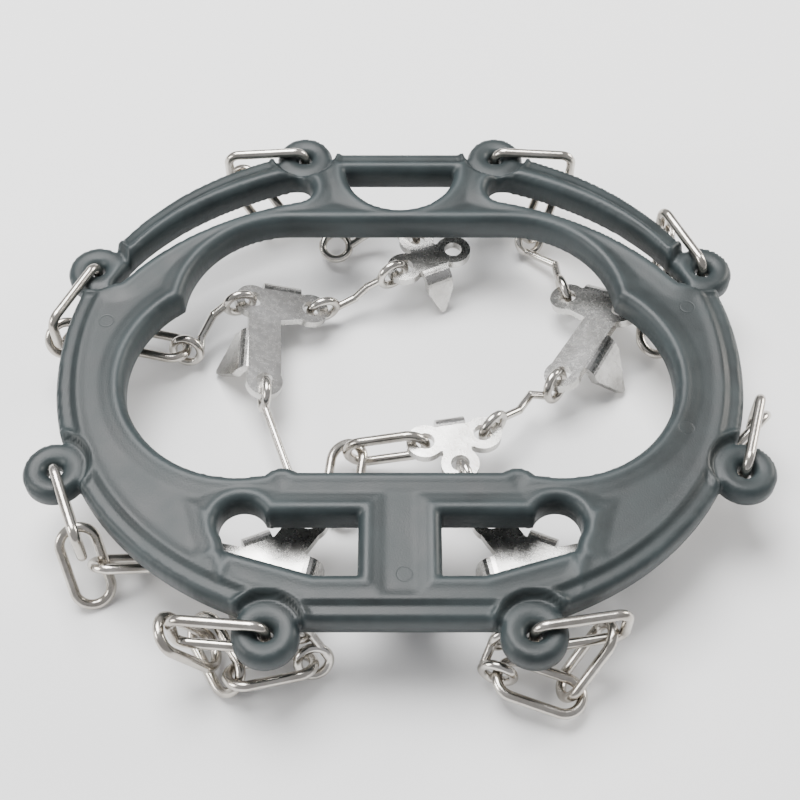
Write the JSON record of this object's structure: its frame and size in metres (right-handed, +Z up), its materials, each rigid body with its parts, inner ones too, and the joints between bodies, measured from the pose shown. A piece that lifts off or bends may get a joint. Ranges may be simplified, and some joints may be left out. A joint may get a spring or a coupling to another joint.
{
  "type": "microspikes",
  "caption": "Ice-grip microspikes: an oval elastic harness with lugs, chain links, bent wire links and sheet-metal spike plates that hang under a boot.",
  "frame": {"origin": "on the ground, under the middle of the boot opening", "axes": "+X is the wearer's right, +Y points to the toe, +Z is up"},
  "size_m": [0.1641, 0.1469, 0.0233],
  "materials": {
    "harness_rubber": "satin moulded rubber",
    "chain_steel": "bright welded chain wire",
    "wire_steel": "bright drawn wire",
    "spike_steel": "pressed stainless sheet"
  },
  "bodies": {
    "harness": {"harness": "harness_rubber"},
    "lug_link_toe_left": {"lug_link_toe_left": "chain_steel"},
    "lug_link_toe_right": {"lug_link_toe_right": "chain_steel"},
    "lug_link_fore_left": {"lug_link_fore_left": "chain_steel"},
    "lug_link_fore_right": {"lug_link_fore_right": "chain_steel"},
    "lug_link_rear_left": {"lug_link_rear_left": "chain_steel"},
    "lug_link_rear_right": {"lug_link_rear_right": "chain_steel"},
    "lug_link_heel_left": {"lug_link_heel_left": "chain_steel"},
    "lug_link_heel_right": {"lug_link_heel_right": "chain_steel"},
    "toe_left_link": {"toe_left_link": "chain_steel"},
    "toe_right_link": {"toe_right_link": "chain_steel"},
    "fore_left_link_1": {"fore_left_link_1": "chain_steel"},
    "fore_left_link_2": {"fore_left_link_2": "chain_steel"},
    "fore_right_link_1": {"fore_right_link_1": "chain_steel"},
    "fore_right_link_2": {"fore_right_link_2": "chain_steel"},
    "rear_left_link_1": {"rear_left_link_1": "chain_steel"},
    "rear_left_link_2": {"rear_left_link_2": "chain_steel"},
    "rear_right_link_1": {"rear_right_link_1": "chain_steel"},
    "rear_right_link_2": {"rear_right_link_2": "chain_steel"},
    "heel_left_link_1": {"heel_left_link_1": "chain_steel"},
    "heel_left_link_2": {"heel_left_link_2": "chain_steel"},
    "heel_left_link_3": {"heel_left_link_3": "chain_steel"},
    "heel_right_link_1": {"heel_right_link_1": "chain_steel"},
    "heel_right_link_2": {"heel_right_link_2": "chain_steel"},
    "forefoot_plate_left": {"forefoot_plate_left": "spike_steel"},
    "forefoot_plate_right": {"forefoot_plate_right": "spike_steel"},
    "toe_plate": {"toe_plate": "spike_steel"},
    "heel_plate_left": {"heel_plate_left": "spike_steel"},
    "heel_plate_right": {"heel_plate_right": "spike_steel"},
    "arch_plate": {"arch_plate": "spike_steel"},
    "fore_left_wire": {"fore_left_wire": "wire_steel"},
    "fore_right_wire": {"fore_right_wire": "wire_steel"},
    "toe_wire_left": {"toe_wire_left": "wire_steel"},
    "toe_wire_far": {"toe_wire_far": "wire_steel"},
    "rear_left_wire": {"rear_left_wire": "wire_steel"},
    "rear_right_wire": {"rear_right_wire": "wire_steel"},
    "heel_left_wire": {"heel_left_wire": "wire_steel"},
    "heel_right_wire": {"heel_right_wire": "wire_steel"},
    "arch_wire": {"arch_wire": "wire_steel"},
    "arch_link": {"arch_link": "chain_steel"},
    "arch_ring": {"arch_ring": "chain_steel"}
  },
  "joints": [
    {"name": "toe_left_lug_swing", "type": "hinge", "parent": "harness", "child": "lug_link_toe_left", "pos_m": [-0.0235, 0.063, 0.0174], "axis": [0, 0, -1], "range_deg": [0, 40]},
    {"name": "toe_right_lug_swing", "type": "hinge", "parent": "harness", "child": "lug_link_toe_right", "pos_m": [0.0235, 0.063, 0.0174], "axis": [0, 0, 1], "range_deg": [0, 2]},
    {"name": "fore_left_lug_swing", "type": "hinge", "parent": "harness", "child": "lug_link_fore_left", "pos_m": [-0.0705, 0.027, 0.0174], "axis": [0, 0, -1], "range_deg": [0, 6]},
    {"name": "fore_right_lug_swing", "type": "hinge", "parent": "harness", "child": "lug_link_fore_right", "pos_m": [0.0705, 0.027, 0.0174], "axis": [0, 0, -1], "range_deg": [0, 12]},
    {"name": "rear_left_lug_swing", "type": "hinge", "parent": "harness", "child": "lug_link_rear_left", "pos_m": [-0.073, -0.028, 0.0174], "axis": [0, 0, -1], "range_deg": [0, 40]},
    {"name": "rear_right_lug_swing", "type": "hinge", "parent": "harness", "child": "lug_link_rear_right", "pos_m": [0.073, -0.028, 0.0174], "axis": [0, 0, -1], "range_deg": [0, 40]},
    {"name": "heel_left_lug_swing", "type": "hinge", "parent": "harness", "child": "lug_link_heel_left", "pos_m": [-0.0265, -0.0655, 0.0174], "axis": [0, 0, 1], "range_deg": [0, 12]},
    {"name": "heel_right_lug_swing", "type": "hinge", "parent": "harness", "child": "lug_link_heel_right", "pos_m": [0.0265, -0.0655, 0.0174], "axis": [0, 0, -1], "range_deg": [0, 3]},
    {"name": "toe_left_link_drop", "type": "hinge", "parent": "lug_link_toe_left", "child": "toe_left_link", "pos_m": [-0.03896, 0.06192, 0.0124], "axis": [0.9976, 0.0698, 0], "range_deg": [0, 10]},
    {"name": "toe_right_link_drop", "type": "hinge", "parent": "lug_link_toe_right", "child": "toe_right_link", "pos_m": [0.03796, 0.06199, 0.0124], "axis": [0.9976, -0.0698, 0], "range_deg": [0, 3]},
    {"name": "fore_left_link_1_drop", "type": "hinge", "parent": "lug_link_fore_left", "child": "fore_left_link_1", "pos_m": [-0.07705, 0.01295, 0.0124], "axis": [0.4226, 0.9063, 0], "range_deg": [0, 8]},
    {"name": "fore_left_link_2_drop", "type": "hinge", "parent": "fore_left_link_1", "child": "fore_left_link_2", "pos_m": [-0.06542, 0.01718, 0.00689], "axis": [0.16, 0.5903, 0.7912], "range_deg": [0, 10]},
    {"name": "fore_right_link_1_drop", "type": "hinge", "parent": "lug_link_fore_right", "child": "fore_right_link_1", "pos_m": [0.0642, 0.04116, 0.0124], "axis": [0.4067, -0.9135, 0], "range_deg": [0, 4]},
    {"name": "fore_right_link_2_drop", "type": "hinge", "parent": "fore_right_link_1", "child": "fore_right_link_2", "pos_m": [0.06256, 0.02952, 0.00789], "axis": [0.2081, -0.3788, 0.9018], "range_deg": [0, 25]},
    {"name": "rear_left_link_1_drop", "type": "hinge", "parent": "lug_link_rear_left", "child": "rear_left_link_1", "pos_m": [-0.06776, -0.04098, 0.0124], "axis": [0.3746, -0.9272, 0], "range_deg": [0, 20]},
    {"name": "rear_left_link_2_drop", "type": "hinge", "parent": "rear_left_link_1", "child": "rear_left_link_2", "pos_m": [-0.06252, -0.04353, 0.00724], "axis": [-0.2408, 0.596, 0.766], "range_deg": [0, 30]},
    {"name": "rear_right_link_1_drop", "type": "hinge", "parent": "lug_link_rear_right", "child": "rear_right_link_1", "pos_m": [0.07753, -0.01318, 0.0124], "axis": [-0.2924, -0.9563, 0], "range_deg": [0, 3]},
    {"name": "rear_right_link_2_drop", "type": "hinge", "parent": "rear_right_link_1", "child": "rear_right_link_2", "pos_m": [0.0686, -0.02067, 0.00721], "axis": [-0.1346, -0.4508, 0.8824], "range_deg": [0, 30]},
    {"name": "heel_left_link_1_drop", "type": "hinge", "parent": "lug_link_heel_left", "child": "heel_left_link_1", "pos_m": [-0.04523, -0.06386, 0.0151], "axis": [0, 0, -1], "range_deg": [0, 3]},
    {"name": "heel_left_link_2_drop", "type": "hinge", "parent": "heel_left_link_1", "child": "heel_left_link_2", "pos_m": [-0.03785, -0.06282, 0.00405], "axis": [-0.1392, 0.9903, 0], "range_deg": [0, 12]},
    {"name": "heel_left_link_3_drop", "type": "hinge", "parent": "heel_left_link_2", "child": "heel_left_link_3", "pos_m": [-0.03238, -0.06839, 0.006], "axis": [0.0795, 0.8624, 0.5], "range_deg": [0, 10]},
    {"name": "heel_right_link_1_drop", "type": "hinge", "parent": "lug_link_heel_right", "child": "heel_right_link_1", "pos_m": [0.04082, -0.06323, 0.0124], "axis": [0.9877, 0.1564, 0], "range_deg": [0, 3]},
    {"name": "heel_right_link_2_drop", "type": "hinge", "parent": "heel_right_link_1", "child": "heel_right_link_2", "pos_m": [0.03402, -0.07251, 0.00481], "axis": [0.4847, -0.227, 0.8447], "range_deg": [0, 6]},
    {"name": "heel_left_wire_drop", "type": "hinge", "parent": "heel_left_link_3", "child": "heel_left_wire", "pos_m": [-0.01767, -0.06473, 0.00494], "axis": [0.2434, -0.8319, 0.4988], "range_deg": [0, 10]},
    {"name": "heel_plate_left_drop", "type": "hinge", "parent": "heel_left_wire", "child": "heel_plate_left", "pos_m": [-0.02152, -0.06099, 0.0107], "axis": [-0.0698, -0.9976, 0], "range_deg": [0, 20]},
    {"name": "heel_right_wire_drop", "type": "hinge", "parent": "heel_right_link_2", "child": "heel_right_wire", "pos_m": [0.01982, -0.0679, 0.00638], "axis": [0.309, 0.9511, 0], "range_deg": [0, 6]},
    {"name": "heel_plate_right_drop", "type": "hinge", "parent": "heel_right_wire", "child": "heel_plate_right", "pos_m": [0.02175, -0.06199, 0.0107], "axis": [-0.3746, 0.9272, 0], "range_deg": [0, 20]},
    {"name": "fore_left_wire_drop", "type": "hinge", "parent": "fore_left_link_2", "child": "fore_left_wire", "pos_m": [-0.05042, 0.01454, 0.00556], "axis": [0.1455, 0.9552, -0.2578], "range_deg": [0, 10]},
    {"name": "forefoot_plate_left_drop", "type": "hinge", "parent": "fore_left_wire", "child": "forefoot_plate_left", "pos_m": [-0.03806, 0.02417, 0.01141], "axis": [-0.3304, 0.9397, 0.0885], "range_deg": [0, 15]},
    {"name": "toe_wire_left_drop", "type": "hinge", "parent": "forefoot_plate_left", "child": "toe_wire_left", "pos_m": [-0.01854, 0.02643, 0.00619], "axis": [-0.3304, 0.9397, 0.0885], "range_deg": [0, 15]},
    {"name": "toe_plate_drop", "type": "hinge", "parent": "toe_wire_left", "child": "toe_plate", "pos_m": [-0.00175, 0.0336, 0.0107], "axis": [-0.5, 0.866, 0], "range_deg": [0, 20]},
    {"name": "toe_wire_far_drop", "type": "hinge", "parent": "toe_plate", "child": "toe_wire_far", "pos_m": [0.00171, 0.04668, 0.0107], "axis": [-0.7071, -0.7071, 0], "range_deg": [0, 25]},
    {"name": "rear_left_wire_drop", "type": "hinge", "parent": "forefoot_plate_left", "child": "rear_left_wire", "pos_m": [-0.03092, -0.00099, 0.0095], "axis": [0.9623, 0.0872, -0.2578], "range_deg": [0, 25]},
    {"name": "fore_right_wire_drop", "type": "hinge", "parent": "toe_right_link", "child": "fore_right_wire", "pos_m": [0.03254, 0.05037, 0.00439], "axis": [0.4825, -0.6384, 0.5997], "range_deg": [0, 6]},
    {"name": "forefoot_plate_right_drop", "type": "hinge", "parent": "fore_right_wire", "child": "forefoot_plate_right", "pos_m": [0.03976, 0.03202, 0.00638], "axis": [0.9451, 0.2709, 0.183], "range_deg": [0, 6]},
    {"name": "rear_right_wire_drop", "type": "hinge", "parent": "forefoot_plate_right", "child": "rear_right_wire", "pos_m": [0.03553, 0.00142, 0.0095], "axis": [0.7898, -0.5566, 0.2578], "range_deg": [0, 12]},
    {"name": "arch_plate_drop", "type": "hinge", "parent": "rear_right_wire", "child": "arch_plate", "pos_m": [0.02073, -0.01054, 0.0107], "axis": [0.7071, -0.7071, 0], "range_deg": [0, 12]},
    {"name": "arch_wire_drop", "type": "hinge", "parent": "arch_plate", "child": "arch_wire", "pos_m": [0.01434, -0.02399, 0.0107], "axis": [0.9397, 0.342, 0], "range_deg": [0, 8]},
    {"name": "arch_link_drop", "type": "hinge", "parent": "arch_plate", "child": "arch_link", "pos_m": [0.0056, -0.01513, 0.0107], "axis": [0, -1, 0], "range_deg": [0, 6]},
    {"name": "arch_ring_drop", "type": "hinge", "parent": "arch_link", "child": "arch_ring", "pos_m": [-0.01167, -0.01513, 0.00639], "axis": [0.2419, 0, -0.9703], "range_deg": [0, 30]}
  ]
}
